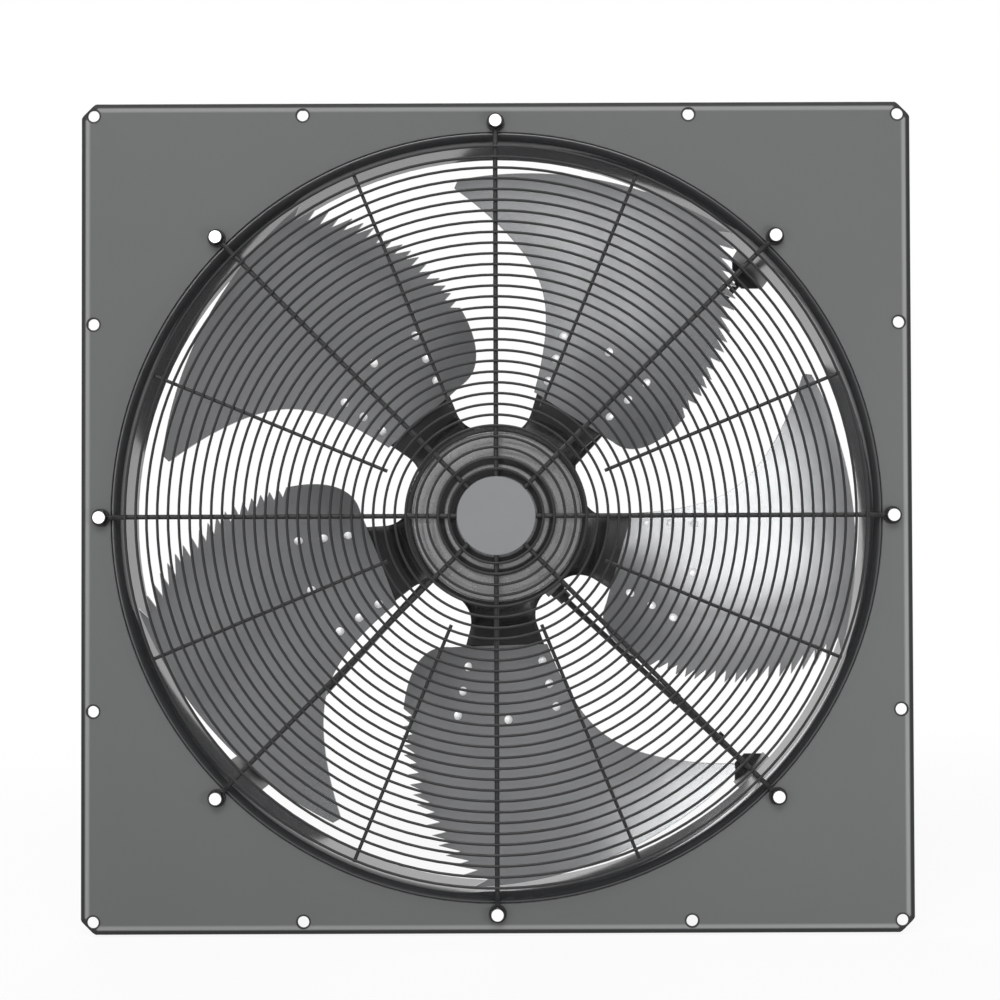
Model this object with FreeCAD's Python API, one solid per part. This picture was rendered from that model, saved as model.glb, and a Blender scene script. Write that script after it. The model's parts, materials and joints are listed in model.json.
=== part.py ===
import FreeCAD, Part
import math
import os

from FreeCAD import Vector

# Plate-mounted axial fan, in millimetres.
# The fan axis is Y, the front faces -Y and Z is up. The origin is on the axis, in the plate's front face.

# Impeller
impeller_dia = 715.0
blade_count = 5
first_arm_angle = 270.0
blade_root_r = 127.5
blade_thick = 4.5  # along the fan axis
blade_mid_y = 64.0
tip_lead = 131.0  # rise along the axis for one radian, at the tip
collar_lead = 70.0  # the same at the collar, for one radian
lead_power = 1.6
camber = 9.0
half_chord = 24.0  # degrees
sweep_root = -2.5  # degrees ahead of the arm
sweep_gain = 23.0  # degrees more at the tip
sweep_start_r = 150.0

# Blade outline, as angles ahead of the arm at shares of the blade's length
lead_root_angle = 20.8
lead_edge = ((0.28, 21.9), (0.50, 25.4), (0.72, 33.3), (0.97, 43.7))  # shares and degrees
lobe_root_angle = -20.6
lobe_edge = ((0.09, -27.4), (0.21, -28.7), (0.345, -26.2))  # shares and degrees
trail_start_share = 0.36
trail_angle = -23.4
trail_slope = 25.3  # degrees over a blade's length
trail_curve = 16.9  # degrees, growing with the square of the length
tooth_count = 17
tooth_depth_inner = 9.0
tooth_depth_outer = 20.0
tip_land = 6.0  # plain length between the last tooth and the tip
tip_corner = 0.8  # degrees cut off the tip's leading corner
tip_trail_extra = 3.5  # degrees that the tip reaches behind the tooth line

# Hub and rivets
collar_wall = 5.5
collar_front_y = 16.0
collar_rear_y = 112.0
arm_thick = 8.0  # along the fan axis
arm_centre_angle = 2.5
arm_half_angle = 17.0
arm_valley_r = 30.0
arm_corner_r = 12.0
arm_edge = 12.0  # from the last rivet row to the arm's end
rivet_first_r = 151.0
rivet_pitch = 24.5
rivet_rows = 3
rivet_spread = 14.2  # degrees either side of the arm's middle
rivet_mid_extra = 3.0
rivet_shank_r = 2.4
rivet_head_r = 4.4
rivet_head_high = 2.2
rivet_tail_r = 3.6
rivet_tail_high = 1.8
rivet_clear = 0.08

# Nozzle and plate
tip_gap = 4.0
nozzle_sheet = 2.0
nozzle_depth = 68.0
lip_width = 9.0
lip_depth = 13.0
lip_round = 1.5
lip_flat = 0.8
lip_gap = 0.3
bead_r = 1.8
plate_sheet = 2.0
plate_margin = 8.0  # from the nozzle flange to the plate's edge
rim_depth = 20.0
rim_bend_r = 4.0
corner_cut = 15.0
edge_hole_dia = 11.0
edge_hole_inset = 12.5
edge_hole_span = 372.0

# Guard
bolt_edge = 9.2  # from the plate's opening to the guard bolts
flange_edge = 12.0
guard_fixings = 8
guard_stand = 14.0
main_rod_dia = 4.6
short_rod_dia = 3.4
ring_wire = 2.6
ring_first_r = 45.0
ring_pitch = 10.25
ring_edge_gap = 8.0
weld_sink = 0.3
rod_inner_r = 26.0
short_rod_inner_r = 112.0
rod_overhang = 2.0
rod_bend_r = 8.0
rod_seat_gap = 0.2
eyelet_dia = 17.0
eyelet_thick = 3.4
disc_r = 37.5
disc_sheet = 2.0
disc_round = 0.8

# Fasteners
bolt_dia = 8.0
bolt_hole_dia = 9.0
bolt_flats = 13.0
bolt_head_high = 5.3
nut_high = 6.5
washer_dia = 16.0
washer_thick = 1.6
bolt_spare = 1.5

# Motor
rotor_dia = 165.0
rotor_face_y = 4.0
rotor_length = 116.0
rotor_wall = 3.0
rotor_face_thick = 6.0
rotor_corner_r = 6.0
groove_inner_r = 50.0
groove_outer_r = 59.0
groove_depth = 3.5
step_r = 72.0
step_depth = 1.5
boss_wall = 6.0
boss_length = 20.0
shaft_dia = 20.0
shaft_shoulder = 2.0
bearing_dia = 47.0
bearing_width = 14.0
bearing_land = 4.6  # height of each ring's shoulder
ball_dia = 7.8
ball_count = 8
ball_clear = 0.05
cage_thick = 3.0
cage_wall = 2.8
cage_shift = 2.2
tube_wall = 4.5
tube_shoulder = 3.0
spring_thick = 3.0
circlip_thick = 1.2
circlip_reach = 2.5
shaft_spare = 3.0
core_length = 44.0
core_dia = 120.0
air_gap = 0.8
slot_count = 12
slot_width = 8.0
slot_inner_r = 40.0
winding_overhang = 14.0
winding_clear = 0.3
winding_ring_wall = 22.0
end_gap = 4.0
flange_thick = 8.0
skirt_gap = 2.0
skirt_wall = 3.5
skirt_length = 10.0
seat_boss_r = 60.0
seat_boss_high = 10.0

# Motor support
strut_angles = (45.0, 135.0, 225.0, 315.0)
strut_thick = 6.0
strut_deep = 16.0
strut_skew = 2.3  # degrees off the radial line, so that each strut passes beside the axis
strut_inner_r = 20.0
motor_plate_r = 65.0
motor_plate_thick = 4.0
motor_plate_hole_r = 16.0
motor_bolt_r = 42.0
motor_bolt_grip = 16.0
foot_sheet = 3.0
foot_width = 44.0
foot_neck = 14.0
foot_reach = 13.0
foot_taper = 15.0
foot_gap = 0.5
foot_toe = 14.0

# Lead and terminal box, on the lower right strut
lead_angle = 315.0
lead_dia = 6.0
lead_clear = 0.3
outlet_out = 4.0  # past the motor's skirt
outlet_deep = 22.0
outlet_wide = 22.0
outlet_high = 16.0
outlet_side = 10.0
gland_flats = 16.0
gland_hex = 5.0
gland_body_r = 7.0
gland_body = 10.0
lead_bend_r = 30.0
lead_drop_gap = 3.0  # from the bend to the box gland
lead_straight = 125.0
lead_joins_strut = 185.0
tie_count = 3
tie_start = 15.0  # past the place where the lead joins the strut
tie_to_foot = 30.288  # from the last tie to the foot
tie_width = 4.5
tie_thick = 1.2
tie_clear = 0.1
box_rim_gap = 13.3  # from the box's corner to the plate's rim
box_deep = 62.0
box_wide = 64.0
box_high = 38.0
box_wall = 2.5
box_corner_r = 5.0
lid_thick = 6.0
lid_screw_inset = 7.0
lid_screw_r = 1.8
lid_head_r = 3.4
lid_head_high = 3.0
lid_screw_length = 15.0
lid_post_half = 5.3
box_gland_y = 25.0
stud_r = 2.5
stud_spread = 13.0
stud_inset = 14.0
stud_clear = 0.3
stud_nut_flats = 8.0
stud_nut_high = 4.0
stud_spare = 1.5
block_long = 36.0
block_deep = 22.0
block_high = 15.0
block_inset = 12.0
block_hole_r = 2.2
block_ways = 4
lead_tail = 8.0

# Worked-out sizes
tip_r = impeller_dia / 2
blade_length = tip_r - blade_root_r
rotor_r = rotor_dia / 2
collar_r = rotor_r + collar_wall
throat_r = tip_r + tip_gap
wall_r = throat_r + nozzle_sheet
lip_r = throat_r + lip_width
crest_r = lip_r - lip_round
bell_start_r = crest_r - lip_flat
bell_r = ((bell_start_r - throat_r) ** 2 + lip_depth**2) / (2 * (bell_start_r - throat_r))
bell_back_r = bell_r - nozzle_sheet
opening_r = lip_r + lip_gap
guard_bolt_r = opening_r + bolt_edge
flange_r = guard_bolt_r + flange_edge
half_side = flange_r + plate_margin
flange_rear_y = plate_sheet + nozzle_sheet
bell_foot_r = throat_r + bell_r - math.sqrt(bell_back_r**2 - (lip_depth - flange_rear_y) ** 2)
main_rod_r = main_rod_dia / 2
ring_y = weld_sink - guard_stand - main_rod_r - ring_wire / 2
short_rod_y = ring_y + ring_wire / 2 + short_rod_dia / 2 - weld_sink
ring_count = int((throat_r - ring_edge_gap - ring_first_r) / ring_pitch) + 1
ring_last_r = ring_first_r + ring_pitch * (ring_count - 1)
bolt_r = bolt_dia / 2
bolt_hole_r = bolt_hole_dia / 2
head_corner_r = bolt_flats / 2 / math.cos(math.pi / 6)
shaft_r = shaft_dia / 2
bearing_r = bearing_dia / 2
ball_r = ball_dia / 2
ball_path_r = (shaft_r + bearing_r) / 2
boss_end_y = rotor_face_y + rotor_face_thick + boss_length
front_stop_y = boss_end_y + bearing_width
rotor_end_y = rotor_face_y + rotor_length
flange_y = rotor_end_y + end_gap
rear_stop_y = flange_y - bearing_width - spring_thick
tube_r = bearing_r + tube_wall
tube_mid_r = bearing_r - tube_shoulder
tube_front_y = boss_end_y - end_gap
core_r = core_dia / 2
core_mid_y = (front_stop_y + rear_stop_y) / 2
core_front_y = core_mid_y - core_length / 2
core_rear_y = core_mid_y + core_length / 2
skirt_inner_r = rotor_r + skirt_gap
skirt_r = skirt_inner_r + skirt_wall
seat_y = flange_y + flange_thick + seat_boss_high
support_y = seat_y + motor_plate_thick
strut_rear_y = support_y + strut_deep
foot_r = max(throat_r + 2 * bead_r, bell_foot_r) + foot_gap
strut_end_r = foot_r + foot_sheet
skew_slope = math.tan(math.radians(strut_skew))
lead_r = lead_dia / 2
first_tie_r = lead_joins_strut + tie_start
last_tie_r = foot_r - foot_reach - tie_to_foot
tie_pitch = (last_tie_r - first_tie_r) / (tie_count - 1)
outlet_y = flange_y + flange_thick + seat_boss_high - outlet_high / 2
outlet_r = skirt_r + outlet_out
lead_y = support_y - foot_sheet - lead_r - lead_clear
box_outer_r = (half_side - plate_sheet - box_rim_gap) * math.sqrt(2) - box_wide / 2
box_inner_r = box_outer_r - box_deep
lead_drop_r = box_inner_r - gland_hex - gland_body - lead_bend_r - lead_drop_gap
gland_side = (lead_drop_r - strut_end_r) * skew_slope
arm_end_r = rivet_first_r + rivet_pitch * (rivet_rows - 1) + arm_edge
box_rear_y = plate_sheet + box_high

up = Vector(0, 0, 1)
along = Vector(0, 1, 0)
centre = Vector(0, 0, 0)


def at(radius, degrees, y):
    angle = math.radians(degrees)
    return Vector(radius * math.cos(angle), y, radius * math.sin(angle))


def turned(shape, degrees):
    copy = shape.copy()
    copy.rotate(centre, along, -degrees)
    return copy


def disc(radius, y_from, y_to, x=0.0, z=0.0):
    return Part.makeCylinder(radius, y_to - y_from, Vector(x, y_from, z), along)


def ring(outer, inner, y_from, y_to):
    return disc(outer, y_from, y_to).cut(disc(inner, y_from, y_to))


def block(x_from, x_to, y_from, y_to, z_from, z_to):
    corner = Vector(x_from, y_from, z_from)
    return Part.makeBox(x_to - x_from, y_to - y_from, z_to - z_from, corner)


def line(start, end):
    return Part.LineSegment(start, end).toShape()


def arc(start, middle, end):
    return Part.Arc(start, middle, end).toShape()


def curve(points):
    spline = Part.BSplineCurve()
    spline.interpolate(points)
    return spline.toShape()


def prism(edges, rise):
    return Part.Face(Part.Wire(edges)).extrude(rise)


def polygon(points, rise):
    corners = list(points)
    closed = corners + [corners[0]]
    return Part.Face(Part.makePolygon(closed)).extrude(rise)


def revolved(edges):
    return Part.Face(Part.Wire(edges)).revolve(centre, along, 360)


def hexagon(flats, y_from, y_to, x=0.0, z=0.0):
    corner_r = flats / 2 / math.cos(math.pi / 6)
    points = [at(corner_r, 60 * i, y_from) + Vector(x, 0, z) for i in range(6)]
    return polygon(points, Vector(0, y_to - y_from, 0))


def hexagon_radial(flats, x_from, x_to, y, z):
    corner_r = flats / 2 / math.cos(math.pi / 6)
    points = []
    for i in range(6):
        angle = math.radians(60 * i)
        points.append(Vector(x_from, y + corner_r * math.cos(angle), z + corner_r * math.sin(angle)))
    return polygon(points, Vector(x_to - x_from, 0, 0))


def rod_radial(radius, x_from, x_to, y, z):
    return Part.makeCylinder(radius, x_to - x_from, Vector(x_from, y, z), Vector(1, 0, 0))


def rounded_path(points, radii):
    edges = []
    start = points[0]
    for before, corner, after, radius in zip(points, points[1:], points[2:], radii):
        back = (before - corner).normalize()
        ahead = (after - corner).normalize()
        half = back.getAngle(ahead) / 2
        trim = radius / math.tan(half)
        inward = (back + ahead).normalize()
        first = corner + back * trim
        last = corner + ahead * trim
        middle = corner + inward * (radius / math.sin(half) - radius)
        edges.append(line(start, first))
        edges.append(arc(first, middle, last))
        start = last
    edges.append(line(start, points[-1]))
    return Part.Wire(edges)


def tube_along(path, radius):
    first = path.OrderedEdges[0]
    start = first.valueAt(first.FirstParameter)
    heading = first.tangentAt(first.FirstParameter)
    profile = Part.Wire(Part.makeCircle(radius, start, heading))
    return path.makePipeShell([profile], True, False)


def fused(shapes):
    whole = shapes[0]
    for shape in shapes[1:]:
        whole = whole.fuse(shape)
    return whole.removeSplitter()


def group(shapes):
    return Part.makeCompound(shapes)


def save(node, shape):
    shape.exportStep("parts/" + node + ".step")


# Blade surface: a swept helicoid, hollow towards the front
def sweep_at(radius):
    share = max(0.0, (radius - sweep_start_r) / (tip_r - sweep_start_r))
    return sweep_root + sweep_gain * share**2


def surface_point(radius, degrees):
    lag = degrees - sweep_at(radius)
    share = max(0.0, (tip_r - radius) / (tip_r - collar_r))
    lead = tip_lead - (tip_lead - collar_lead) * share**lead_power
    hollow = camber * (1 - (lag / half_chord) ** 2)
    return at(radius, degrees, blade_mid_y + lead * math.radians(lag) + hollow)


def surface_normal(radius, degrees):
    step = 0.01
    outward = surface_point(radius + step, degrees) - surface_point(radius - step, degrees)
    round_axis = surface_point(radius, degrees + step) - surface_point(radius, degrees - step)
    normal = outward.cross(round_axis).normalize()
    return normal if normal.y < 0 else normal * -1


def blade_surface():
    rows = 9
    columns = 9
    reach = 1.5 * half_chord
    inner_r = rotor_r
    outer_r = tip_r + tip_gap
    grid = []
    for i in range(rows):
        radius = inner_r + (outer_r - inner_r) * i / (rows - 1)
        lags = [reach * (2 * j / (columns - 1) - 1) for j in range(columns)]
        grid.append([surface_point(radius, sweep_at(radius) + lag) for lag in lags])
    surface = Part.BSplineSurface()
    surface.interpolate(grid)
    return surface.toShape()


def span_r(share):
    return blade_root_r + blade_length * share


def trail_line(radius):
    share = (radius - blade_root_r) / blade_length - trail_start_share
    return trail_angle + trail_slope * share + trail_curve * share**2


def blade_outline(y):
    root_lead = at(blade_root_r / math.cos(math.radians(lead_root_angle)), lead_root_angle, y)
    root_lobe = at(blade_root_r / math.cos(math.radians(lobe_root_angle)), lobe_root_angle, y)
    lobe = [root_lobe] + [at(span_r(share), angle, y) for share, angle in lobe_edge]
    edges = [line(root_lead, root_lobe), curve(lobe)]

    tooth_start_r = span_r(trail_start_share)
    tooth_pitch = (tip_r - tip_land - tooth_start_r) / tooth_count
    here = lobe[-1]
    for i in range(tooth_count):
        notch_r = tooth_start_r + tooth_pitch * i
        point_r = notch_r + tooth_pitch / 2
        share = i / (tooth_count - 1)
        depth = tooth_depth_inner + (tooth_depth_outer - tooth_depth_inner) * share
        notch = at(notch_r, trail_line(notch_r), y)
        point = at(point_r, trail_line(point_r) - math.degrees(depth / point_r), y)
        edges += [line(here, notch), line(notch, point)]
        here = point
    last_notch = at(tip_r - tip_land, trail_line(tip_r - tip_land), y)
    tip_angle_trail = trail_line(tip_r) - tip_trail_extra
    tip_angle_lead = lead_edge[-1][1] - tip_corner
    tip_trail = at(tip_r, tip_angle_trail, y)
    tip_middle = at(tip_r, (tip_angle_trail + tip_angle_lead) / 2, y)
    tip_lead_corner = at(tip_r, tip_angle_lead, y)
    edges += [line(here, last_notch), line(last_notch, tip_trail), arc(tip_trail, tip_middle, tip_lead_corner)]

    lead = [root_lead] + [at(span_r(share), angle, y) for share, angle in lead_edge]
    lead.reverse()
    edges += [line(tip_lead_corner, lead[0]), curve(lead)]
    return edges


def arm_outline(y):
    inner_r = rotor_r + collar_wall / 2
    valley_turn = math.degrees(math.asin(arm_valley_r / (collar_r + arm_valley_r)))
    side_r = (collar_r + arm_valley_r) * math.cos(math.radians(valley_turn))
    corner_turn = math.degrees(math.asin(arm_corner_r / (arm_end_r - arm_corner_r)))
    corner_r = (arm_end_r - arm_corner_r) * math.cos(math.radians(corner_turn))
    low = arm_centre_angle - arm_half_angle
    high = arm_centre_angle + arm_half_angle

    def valley_middle(side, sign):
        hub = at(collar_r + arm_valley_r, side + sign * valley_turn, y)
        to_axis = at(1, side + sign * valley_turn, 0) * -1
        to_side = at(1, side - sign * 90, 0)
        return hub + (to_axis + to_side).normalize() * arm_valley_r

    def corner_middle(side, sign):
        hub = at(arm_end_r - arm_corner_r, side - sign * corner_turn, y)
        outward = at(1, side - sign * corner_turn, 0)
        to_side = at(1, side + sign * 90, 0)
        return hub + (outward + to_side).normalize() * arm_corner_r

    low_in = at(inner_r, low - valley_turn, y)
    low_collar = at(collar_r, low - valley_turn, y)
    low_side = at(side_r, low, y)
    low_corner = at(corner_r, low, y)
    low_end = at(arm_end_r, low + corner_turn, y)
    high_end = at(arm_end_r, high - corner_turn, y)
    high_corner = at(corner_r, high, y)
    high_side = at(side_r, high, y)
    high_collar = at(collar_r, high + valley_turn, y)
    high_in = at(inner_r, high + valley_turn, y)
    return [
        line(low_in, low_collar),
        arc(low_collar, valley_middle(low, -1), low_side),
        line(low_side, low_corner),
        arc(low_corner, corner_middle(low, -1), low_end),
        arc(low_end, at(arm_end_r, arm_centre_angle, y), high_end),
        arc(high_end, corner_middle(high, 1), high_corner),
        line(high_corner, high_side),
        arc(high_side, valley_middle(high, 1), high_collar),
        line(high_collar, high_in),
        arc(high_in, at(inner_r, arm_centre_angle, y), low_in),
    ]


def rivet_places():
    places = []
    for row in range(rivet_rows):
        radius = rivet_first_r + rivet_pitch * row
        places.append((radius, arm_centre_angle - rivet_spread))
        places.append((radius, arm_centre_angle + rivet_spread))
    last_r = rivet_first_r + rivet_pitch * (rivet_rows - 1) + rivet_mid_extra
    places.append((last_r, arm_centre_angle))
    return places


def rivet_stack(normal):
    return (blade_thick + arm_thick) * abs(normal.y)


def rivet_hole(radius, degrees):
    normal = surface_normal(radius, degrees)
    start = surface_point(radius, degrees) + normal * rivet_head_high
    length = rivet_stack(normal) + 2 * rivet_head_high
    return Part.makeCylinder(rivet_shank_r + rivet_clear, length, start, normal * -1)


def rivet(radius, degrees):
    normal = surface_normal(radius, degrees)
    face = surface_point(radius, degrees) + normal * rivet_clear
    stack = rivet_stack(normal) + 2 * rivet_clear
    ball = (rivet_head_r**2 + rivet_head_high**2) / (2 * rivet_head_high)
    cut_angle = math.degrees(math.asin((ball - rivet_head_high) / ball))
    ball_centre = face - normal * (ball - rivet_head_high)
    head = Part.makeSphere(ball, ball_centre, normal, cut_angle, 90, 360)
    shank = Part.makeCylinder(rivet_shank_r, stack, face, normal * -1)
    tail = Part.makeCylinder(rivet_tail_r, rivet_tail_high, face - normal * stack, normal * -1)
    return fused([head, shank, tail])


def make_impeller():
    deep = Vector(0, 3 * blade_mid_y, 0)
    start_y = -blade_mid_y
    skin = blade_surface()
    holes = [rivet_hole(radius, degrees) for radius, degrees in rivet_places()]

    blade = skin.extrude(along * blade_thick).common(prism(blade_outline(start_y), deep))
    for hole in holes:
        blade = blade.cut(hole)
    blade = blade.Solids[0]

    skin_behind = skin.translated(along * blade_thick)
    arm = skin_behind.extrude(along * arm_thick).common(prism(arm_outline(start_y), deep))
    for hole in holes:
        arm = arm.cut(hole)

    rivets = [rivet(radius, degrees) for radius, degrees in rivet_places()]
    angles = [first_arm_angle + 360 * i / blade_count for i in range(blade_count)]
    collar = ring(collar_r, rotor_r, collar_front_y, collar_rear_y)
    save("hub_star", fused([collar] + [turned(arm, angle) for angle in angles]).Solids[0])
    for number, angle in enumerate(angles, start=1):
        save("blade_" + str(number), turned(blade, angle))
    save("blade_rivets", group([turned(one, angle) for angle in angles for one in rivets]))


# Plate and nozzle
def fixing_angles():
    return [360 * i / guard_fixings for i in range(guard_fixings)]


def bolt_holes(y_from, y_to):
    return [turned(disc(bolt_hole_r, y_from, y_to, guard_bolt_r), angle) for angle in fixing_angles()]


def box_place(shape):
    return turned(shape, lead_angle)


def stud_places():
    return [(box_inner_r + stud_inset, -stud_spread), (box_inner_r + stud_inset, stud_spread)]


def make_plate():
    outer = block(-half_side, half_side, 0, rim_depth, -half_side, half_side)
    front_edges = [e for e in outer.Edges if max(v.Y for v in e.Vertexes) < rim_depth / 2]
    outer = outer.makeFillet(rim_bend_r, front_edges)
    inside = half_side - plate_sheet
    inner = block(-inside, inside, plate_sheet, 2 * rim_depth, -inside, inside)
    inner_edges = [e for e in inner.Edges if max(v.Y for v in e.Vertexes) < rim_depth]
    inner = inner.makeFillet(rim_bend_r - plate_sheet, inner_edges)
    plate = outer.cut(inner).cut(disc(opening_r, -rim_depth, rim_depth))

    # cut corners leave the rim open there
    reach = 2 * corner_cut
    tip = half_side - corner_cut
    wedge = [Vector(half_side, -1, tip), Vector(half_side + reach, -1, tip - reach)]
    wedge += [Vector(half_side + reach, -1, half_side + reach), Vector(tip - reach, -1, half_side + reach)]
    wedge += [Vector(tip, -1, half_side)]
    corner = polygon(wedge, Vector(0, rim_depth + 2, 0))
    for quarter in range(4):
        plate = plate.cut(turned(corner, 90 * quarter))

    hole_line = half_side - edge_hole_inset
    for quarter in range(4):
        for side in (-edge_hole_span / 2, edge_hole_span / 2, hole_line):
            hole = disc(edge_hole_dia / 2, -rim_depth, rim_depth, hole_line, side)
            plate = plate.cut(turned(hole, 90 * quarter))
    for hole in bolt_holes(-plate_sheet, 2 * plate_sheet):
        plate = plate.cut(hole)

    studs = []
    stud_end_y = plate_sheet + box_wall + stud_nut_high + stud_spare
    for x, z in stud_places():
        studs.append(box_place(disc(stud_r, plate_sheet, stud_end_y, x, z)))
    save("wall_plate", fused([plate] + studs).Solids[0])


def make_nozzle():
    bell_centre = Vector(throat_r + bell_r, lip_depth, 0)
    bell_turn = math.asin(lip_depth / bell_r) / 2
    bell_middle = bell_centre - Vector(math.cos(bell_turn), math.sin(bell_turn), 0) * bell_r
    back_turn = math.asin((lip_depth - flange_rear_y) / bell_back_r) / 2
    back_middle = bell_centre - Vector(math.cos(back_turn), math.sin(back_turn), 0) * bell_back_r
    half_turn = math.sqrt(0.5)
    round_middle = Vector(crest_r + lip_round * half_turn, lip_round * (1 - half_turn), 0)
    wall_end_y = nozzle_depth - bead_r

    flange_front = Vector(flange_r, plate_sheet, 0)
    lip_foot = Vector(lip_r, plate_sheet, 0)
    lip_side = Vector(lip_r, lip_round, 0)
    crest = Vector(crest_r, 0, 0)
    bell_start = Vector(bell_start_r, 0, 0)
    bell_end = Vector(throat_r, lip_depth, 0)
    wall_end = Vector(throat_r, wall_end_y, 0)
    wall_end_out = Vector(wall_r, wall_end_y, 0)
    back_start = Vector(wall_r, lip_depth, 0)
    back_foot = Vector(bell_foot_r, flange_rear_y, 0)
    flange_back = Vector(flange_r, flange_rear_y, 0)
    shell = revolved(
        [
            line(flange_front, lip_foot),
            line(lip_foot, lip_side),
            arc(lip_side, round_middle, crest),
            line(crest, bell_start),
            arc(bell_start, bell_middle, bell_end),
            line(bell_end, wall_end),
            line(wall_end, wall_end_out),
            line(wall_end_out, back_start),
            arc(back_start, back_middle, back_foot),
            line(back_foot, flange_back),
            line(flange_back, flange_front),
        ]
    )
    bead = Part.makeTorus(throat_r + bead_r, bead_r, Vector(0, wall_end_y, 0), along)
    nozzle = fused([shell, bead])
    for hole in bolt_holes(0, 2 * flange_rear_y):
        nozzle = nozzle.cut(hole)
    save("nozzle_ring", nozzle.Solids[0])


# Wire guard and its fixings
def make_guard():
    rings = []
    for i in range(ring_count):
        radius = ring_first_r + ring_pitch * i
        rings.append(Part.makeTorus(radius, ring_wire / 2, Vector(0, ring_y, 0), along))
    half_way = (ring_count + 1) // 2
    save("guard_rings_inner", group(rings[:half_way]))
    save("guard_rings_outer", group(rings[half_way:]))

    rod_end_r = guard_bolt_r - head_corner_r - rod_bend_r / 16
    seat_r = rod_end_r - rod_bend_r / 2
    seat_y = -(main_rod_r + rod_seat_gap)
    jog_r = ring_last_r + rod_overhang
    points = [Vector(rod_inner_r, -guard_stand, 0), Vector(jog_r, -guard_stand, 0)]
    points += [Vector(seat_r, seat_y, 0), Vector(rod_end_r, seat_y, 0)]
    bar = tube_along(rounded_path(points, [rod_bend_r, rod_bend_r]), main_rod_r)
    eyelet = disc(eyelet_dia / 2, -eyelet_thick, 0, guard_bolt_r)
    eye_hole = disc(bolt_hole_r, -guard_stand, 1, guard_bolt_r)
    rod = fused([bar, eyelet]).cut(eye_hole).Solids[0]
    save("guard_main_rods", group([turned(rod, angle) for angle in fixing_angles()]))

    short_end_r = ring_last_r + rod_overhang
    short = rod_radial(short_rod_dia / 2, short_rod_inner_r, short_end_r, short_rod_y, 0)
    half_step = 180 / guard_fixings
    save("guard_short_rods", group([turned(short, angle + half_step) for angle in fixing_angles()]))

    disc_back_y = weld_sink - guard_stand - main_rod_r
    plate = disc(disc_r, disc_back_y - disc_sheet, disc_back_y)
    front_edges = [e for e in plate.Edges if e.BoundBox.YMax < disc_back_y - disc_sheet / 2]
    save("guard_centre_disc", plate.makeFillet(disc_round, front_edges))


def on_strut(angle):
    return any(abs(angle - strut) < 1 for strut in strut_angles)


def make_guard_fasteners():
    bolts = []
    washers = []
    nuts = []
    foot_rear_y = flange_rear_y + foot_sheet
    shank_end_y = foot_rear_y + washer_thick + nut_high + bolt_spare
    for angle in fixing_angles():
        head = hexagon(bolt_flats, -eyelet_thick - bolt_head_high, -eyelet_thick, guard_bolt_r)
        head = head.common(head_cone(-eyelet_thick - bolt_head_high, -eyelet_thick, guard_bolt_r))
        shank = disc(bolt_r, -eyelet_thick, shank_end_y, guard_bolt_r)
        bolts.append(turned(fused([head, shank]), angle))
        seat = foot_rear_y if on_strut(angle) else flange_rear_y
        nut_y = seat + washer_thick
        washer = disc(washer_dia / 2, seat, nut_y, guard_bolt_r)
        washers.append(turned(washer.cut(disc(bolt_r, seat, nut_y, guard_bolt_r)), angle))
        nut = hexagon(bolt_flats, nut_y, nut_y + nut_high, guard_bolt_r)
        nuts.append(turned(nut.cut(disc(bolt_r, nut_y, nut_y + nut_high, guard_bolt_r)), angle))
    save("guard_bolts", group(bolts))
    save("guard_washers", group(washers))
    save("guard_nuts", group(nuts))


# Chamfer of a hexagon head towards its free end
def head_cone(y_free, y_seat, x=0.0, z=0.0):
    flat_r = bolt_flats / 2
    high = y_seat - y_free
    return Part.makeCone(flat_r, flat_r + 2 * abs(high), high, Vector(x, y_free, z), Vector(0, 1, 0))


# Motor: turning shell, shaft and bearings, and the fixed side
def make_rotor():
    face_in_y = rotor_face_y + rotor_face_thick
    profile = disc(rotor_r, rotor_face_y, rotor_end_y)
    front_edge = [e for e in profile.Edges if e.BoundBox.YMax < face_in_y]
    profile = profile.makeFillet(rotor_corner_r, front_edge)
    can = profile.cut(disc(rotor_r - rotor_wall, face_in_y, rotor_end_y))
    can = can.cut(ring(groove_outer_r, groove_inner_r, rotor_face_y, rotor_face_y + groove_depth))
    can = can.cut(ring(rotor_r, step_r, rotor_face_y - step_depth, rotor_face_y + step_depth))
    boss = disc(shaft_r + boss_wall, face_in_y, boss_end_y)
    can = fused([can, boss]).cut(disc(shaft_r, rotor_face_y, boss_end_y))
    save("rotor_can", can.Solids[0])
    save("rotor_core", ring(rotor_r - rotor_wall, core_r + air_gap, core_front_y, core_rear_y))

    rear_in_y = rear_stop_y + spring_thick
    clip_y = rear_in_y + bearing_width
    end_y = clip_y + circlip_thick + shaft_spare
    shaft = fused([disc(shaft_r, rotor_face_y, end_y), disc(shaft_r + shaft_shoulder, front_stop_y, rear_in_y)])
    clip_r = shaft_r - circlip_thick / 2
    shaft = shaft.cut(ring(shaft_r + circlip_reach, clip_r, clip_y, clip_y + circlip_thick))
    save("shaft", shaft.Solids[0])
    clip = ring(shaft_r + circlip_reach, clip_r, clip_y, clip_y + circlip_thick)
    mouth = block(0, 2 * shaft_r, clip_y, clip_y + circlip_thick, -shaft_r / 4, shaft_r / 4)
    save("shaft_circlip", clip.cut(mouth).Solids[0])


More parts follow.
